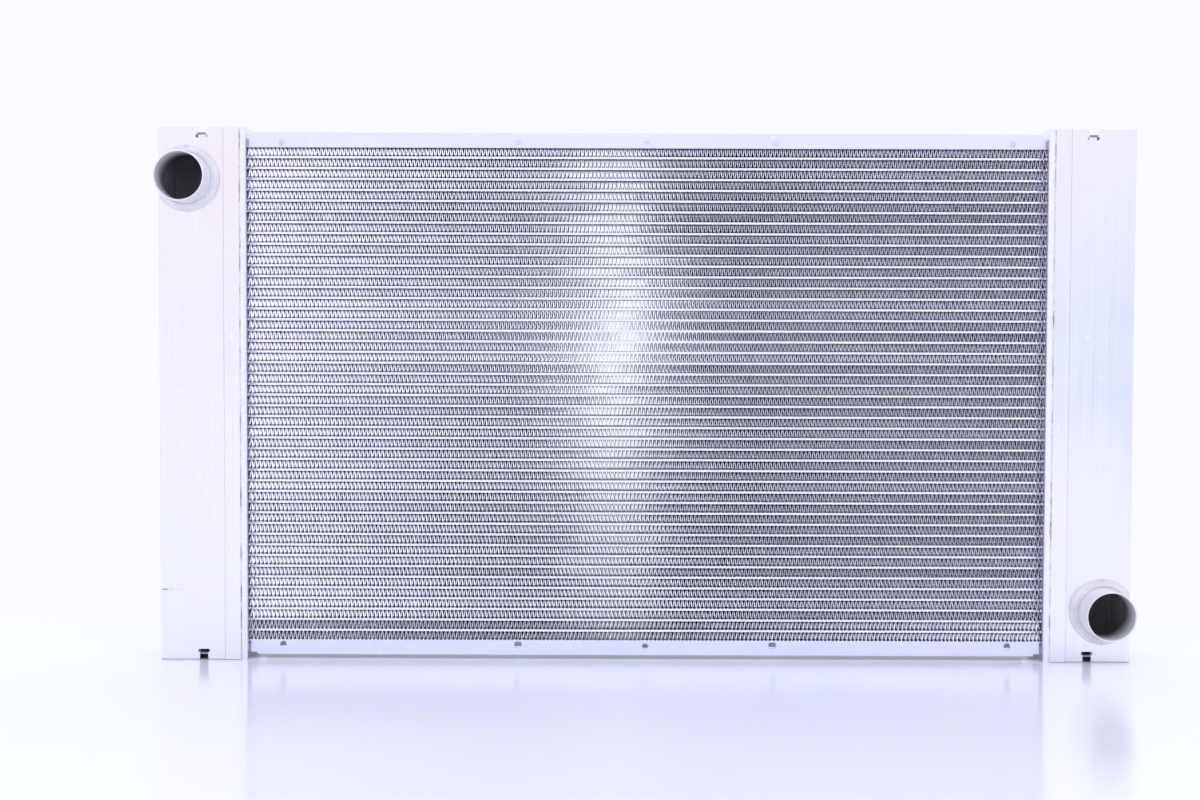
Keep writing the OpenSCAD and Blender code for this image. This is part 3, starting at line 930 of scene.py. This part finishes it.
class COOLER_OT_spigots(bpy.types.Operator):
    """Builds the two hose spigots and their collars"""

    bl_idname = "cooler.spigots"
    bl_label = "Spigots"

    def execute(self, context):
        settings = context.scene.oil_cooler
        tube_metal = drawn_tube("drawn_spigot", settings.finish.spigot)
        collar_metal = drawn_tube("turned_collar", darker(settings.finish.spigot, 0.04))
        for word, tank in (("inlet", "left_tank"), ("outlet", "right_tank")):
            self.spigot(settings.spigots, word, tube_metal)
            self.collar(settings.spigots, word, tank, collar_metal)
        return {"FINISHED"}

    def spigot(self, settings, word, material):
        """A thin tube with a rounded lip, and a thicker root that starts with a small step at the collar."""
        root_step, step_start, step_end = 0.6 * MM, 0.4 * MM, 0.5 * MM
        low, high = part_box(f"{word}_spigot")
        centre = (low + high) / 2
        collar_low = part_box(f"{word}_collar")[0].y
        root = (high.x - low.x) / 2
        outer = root - root_step
        bore = outer - settings.wall
        lip = settings.lip
        profile = np.concatenate([
            arc_points((bore + lip, low.y + lip), lip, 180, 270, 5),
            arc_points((outer - lip, low.y + lip), lip, 270, 360, 5),
            [(outer, low.y + 5 * MM), (outer, collar_low - step_start)],
            [(outer + root_step / 2, collar_low), (root, collar_low + step_end), (root, high.y)],
            [(bore, high.y), (bore, low.y + 8 * MM)],
        ])
        points, cells = profile_ring(profile, centre, settings.around)
        piece = mesh_piece(f"{word}_hose_spigot", points, cells, material)
        face_out(piece)
        finish_piece(piece, "turned_spigot", f"{word}_spigot")

    def collar(self, settings, word, tank, material):
        """A ring with a hollow flank and a stepped neck, cut flush at the tank's outer corner, with a nub
        above and below."""
        neck_wall, neck_height, neck_round, rim_height = 1.6 * MM, 0.8 * MM, 0.4 * MM, 0.9 * MM
        inset, sunk, chamfer, nub_inset = 0.8 * MM, 0.3 * MM, 0.3 * MM, 0.4 * MM
        low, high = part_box(f"{word}_collar")
        spigot_low, spigot_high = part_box(f"{word}_spigot")
        centre = (spigot_low + spigot_high) / 2
        bore = (spigot_high.x - spigot_low.x) / 2
        outer = (high.z - low.z) / 2 - inset
        neck = bore + neck_wall
        face, top = high.y + sunk, low.y
        cut = low.x if tank == "left_tank" else high.x
        rim = high.y - rim_height
        hollow_r, hollow_y = outer - neck, rim - top - neck_height
        hollow = np.radians(np.linspace(180, 90, 9))
        flank = (outer + hollow_r * np.cos(hollow), top + neck_height + hollow_y * np.sin(hollow))
        profile = np.concatenate([
            [(bore, face), (bore, top)],
            arc_points((neck - neck_round, top + neck_round), neck_round, 270, 360, 4),
            np.stack(flank, axis=1),
            [(outer + chamfer, rim + chamfer), (outer + chamfer, face)],
        ])
        parts = [profile_ring(profile, centre, settings.around, cut_x=cut)]
        for side in (-1, 1):
            middle = (centre[0], 0.0, centre[2] + side * (outer - nub_inset))
            parts.append(profile_ring(nub_profile(face, high.y), middle, 16))
        points, cells = stack_parts(parts)
        piece = mesh_piece(f"{word}_weld_collar", points, cells, material)
        face_out(piece)
        finish_piece(piece, "collar_metal", f"{word}_collar")


class COOLER_OT_stage(bpy.types.Operator):
    """Makes the table, the room, the softbox and the camera"""

    bl_idname = "cooler.stage"
    bl_label = "Studio"

    def execute(self, context):
        settings = context.scene.oil_cooler
        self.table(settings.finish.floor)
        self.room(context.scene, settings.stage)
        self.softbox(context.scene, settings.stage)
        self.camera(context.scene, settings.stage)
        context.scene.view_settings.view_transform = "Standard"
        # light is turned back many times between the fins before it comes out again
        context.scene.cycles.max_bounces = 16
        context.scene.cycles.glossy_bounces = 14
        return {"FINISHED"}

    def table(self, colour):
        """A wide table top whose back edge, just behind the cooler, rolls over."""
        reach, back, roll = 4.0, 0.19, 0.03
        drop = np.radians(np.linspace(0, 90, 9))
        y = np.concatenate([[-reach], back + roll * np.sin(drop)])
        z = np.concatenate([[0.0], roll * (np.cos(drop) - 1)])
        points = np.empty((len(y), 2, 3))
        points[..., 0] = (-reach, reach)
        points[..., 1] = y[:, None]
        points[..., 2] = z[:, None]
        lacquer = studio_floor("white_lacquer", colour)
        mesh_piece("studio_table", points, grid_cells(len(y), 2)[:, ::-1], lacquer)

    def room(self, scene, stage):
        """A white room, bluer in front and low to the right, with a bright, bluish ceiling."""
        front, low_right = (0.965, 0.955, 1.0), (0.64, 0.77, 0.98)
        back, ceiling = (0.955, 0.965, 1.0), (1.16, 1.17, 1.4)
        world = bpy.data.worlds.new("white_room")
        world.use_nodes = True
        tree = world.node_tree
        x, y, z = add_node(tree, "SeparateXYZ", [add_node(tree, "TexCoord", [], "Generated")], None).outputs
        right = add_node(tree, "MapRange", [x, 0.215, 0.285, 0, 1])
        low = add_node(tree, "MapRange", [z, 0.0, 0.07, 1, 0])
        front, low_right = ([c * stage.front for c in colour] for colour in (front, low_right))
        colour = layered(
            tree, front, (overlap(tree, right, low), low_right),
            (add_node(tree, "MapRange", [y, -0.1, 0.1, 0, 1]), back),
            (add_node(tree, "MapRange", [z, 0.4, 0.7, 0, 1]), ceiling),
        )
        background = tree.nodes["Background"]
        background.inputs["Strength"].default_value = stage.sky
        tree.links.new(colour, background.inputs["Color"])
        scene.world = world

    def softbox(self, scene, stage):
        """A square softbox over and behind the camera, which lights the fin strips only."""
        lit = bpy.data.collections.new("fins_in_softbox_light")
        for piece in scene.objects:
            if piece.name.startswith("fin_strips_"):
                lit.objects.link(piece)
        spot, turn, side = (0.35, -2.6, 1.6), (61, 0, 7.7), 1.3
        data = bpy.data.lights.new("softbox", "AREA")
        data.shape = "SQUARE"
        data.size = side
        data.energy = stage.key
        light = bpy.data.objects.new("softbox", data)
        light.light_linking.receiver_collection = lit
        self.place(scene, light, spot, turn)

    def camera(self, scene, stage):
        """A nearly level view, from a little left of the middle."""
        spot, turn, sensor = (-0.034, -1.284, 0.247), (87.891, -0.185, 0.068), 36.0
        data = bpy.data.cameras.new("camera")
        data.lens = stage.lens
        data.sensor_width = sensor
        camera = bpy.data.objects.new("camera", data)
        self.place(scene, camera, spot, turn)
        scene.camera = camera

    def place(self, scene, thing, spot, turn):
        """Puts a light or camera at a spot in metres, turned by degrees about X, Y and Z."""
        thing.location = spot
        thing.rotation_euler = Euler([math.radians(a) for a in turn])
        scene.collection.objects.link(thing)


class COOLER_PT_panel(bpy.types.Panel):
    """Lists the cooler's settings and pieces"""

    bl_label = "Oil Cooler"
    bl_idname = "COOLER_PT_panel"
    bl_space_type = "VIEW_3D"
    bl_region_type = "UI"
    bl_category = "Oil Cooler"

    def draw(self, context):
        settings = context.scene.oil_cooler
        for group in (settings.core, settings.joints, settings.spigots, settings.finish, settings.stage):
            box = self.layout.box()
            for name in group.__annotations__:
                box.prop(group, name)
        for operator in OPERATORS:
            self.layout.operator(operator.bl_idname)


OPERATORS = (COOLER_OT_fins, COOLER_OT_tubes, COOLER_OT_tanks, COOLER_OT_spigots, COOLER_OT_stage)
GROUPS = (CoreSettings, JointSettings, SpigotSettings, FinishSettings, StageSettings, CoolerSettings)
CLASSES = (*GROUPS, *OPERATORS, COOLER_PT_panel)


def register():
    """Registers the classes and puts the settings on the scene."""
    for cls in CLASSES:
        bpy.utils.register_class(cls)
    bpy.types.Scene.oil_cooler = PointerProperty(type=CoolerSettings)


def unregister():
    """Takes the settings and the classes away again."""
    del bpy.types.Scene.oil_cooler
    for cls in reversed(CLASSES):
        bpy.utils.unregister_class(cls)


def main():
    """Builds every piece and the stage."""
    register()
    bpy.ops.cooler.fins()
    bpy.ops.cooler.tubes()
    bpy.ops.cooler.tanks()
    bpy.ops.cooler.spigots()
    bpy.ops.cooler.stage()


if __name__ == "__main__":
    main()
